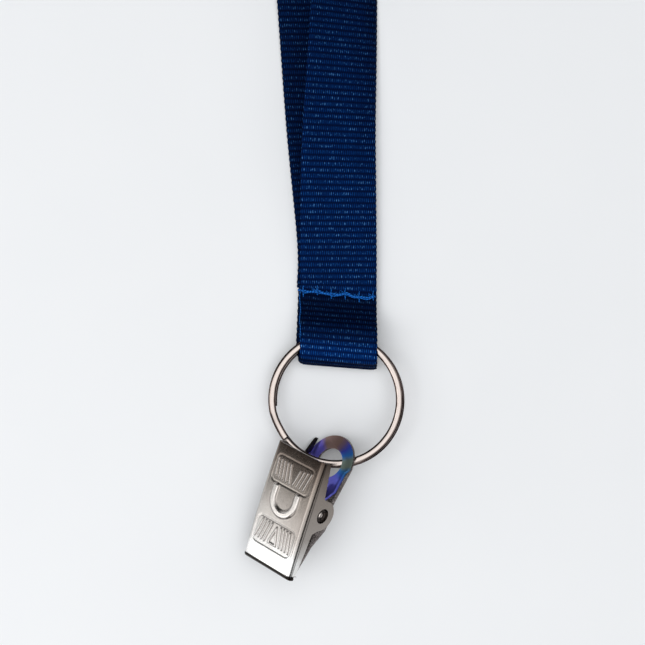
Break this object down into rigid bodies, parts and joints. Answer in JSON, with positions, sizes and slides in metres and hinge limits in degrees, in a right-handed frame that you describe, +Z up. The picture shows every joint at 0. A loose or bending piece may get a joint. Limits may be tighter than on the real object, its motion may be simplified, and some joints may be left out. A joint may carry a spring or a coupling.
{
  "type": "lanyard",
  "caption": "Flat woven neck lanyard whose sewn end loop holds a split ring and a sprung metal bulldog clip, laid flat with its spare length coiled.",
  "frame": {"origin": "On the surface the lanyard lies on, under the middle of its sewn end, ring and clip together.", "axes": "+Z up from that surface, +Y from the clip up the strap, +X across the strap to the right."},
  "size_m": [0.1003, 0.2191, 0.0154],
  "materials": {
    "strap_cloth": "ribbed matte weave",
    "seam_thread": "twisted thread with a soft sheen",
    "ring_nickel": "bright nickel plate",
    "clip_nickel": "bright nickel plate",
    "clip_tempered": "nickel plate with blue and brown heat tint inside",
    "spring_wire": "drawn spring wire"
  },
  "bodies": {
    "strap": {"strap_end_loop": "strap_cloth", "strap_front_run": "strap_cloth", "strap_back_run": "strap_cloth", "strap_coil": "strap_cloth", "seam_thread": "seam_thread"},
    "ring": {"split_ring": "ring_nickel"},
    "clip_back": {"clip_back_jaw": "clip_tempered", "clip_pivot_pin": "clip_nickel", "clip_spring": "spring_wire"},
    "clip_front": {"clip_front_jaw": "clip_nickel"}
  },
  "joints": [
    {"name": "ring_swing", "type": "hinge", "parent": "strap", "child": "ring", "pos_m": [0.0031, 0.01844, 0.00293], "axis": [1, 0, 0], "range_deg": [-60, 80], "deforming": ["strap_end_loop"]},
    {"name": "clip_swing", "type": "hinge", "parent": "ring", "child": "clip_back", "pos_m": [0.00142, -0.00639, 0.00392], "axis": [0.9925, -0.0884, 0.0839], "range_deg": [-4, 65]},
    {"name": "jaw_open", "type": "hinge", "parent": "clip_back", "child": "clip_front", "pos_m": [-0.00442, -0.01393, 0.00654], "axis": [-0.6977, 0.3047, -0.6484], "range_deg": [0, 7], "stiffness_Nm_per_rad": 0.05, "springref_deg": -34.38, "deforming": ["clip_spring"]}
  ]
}
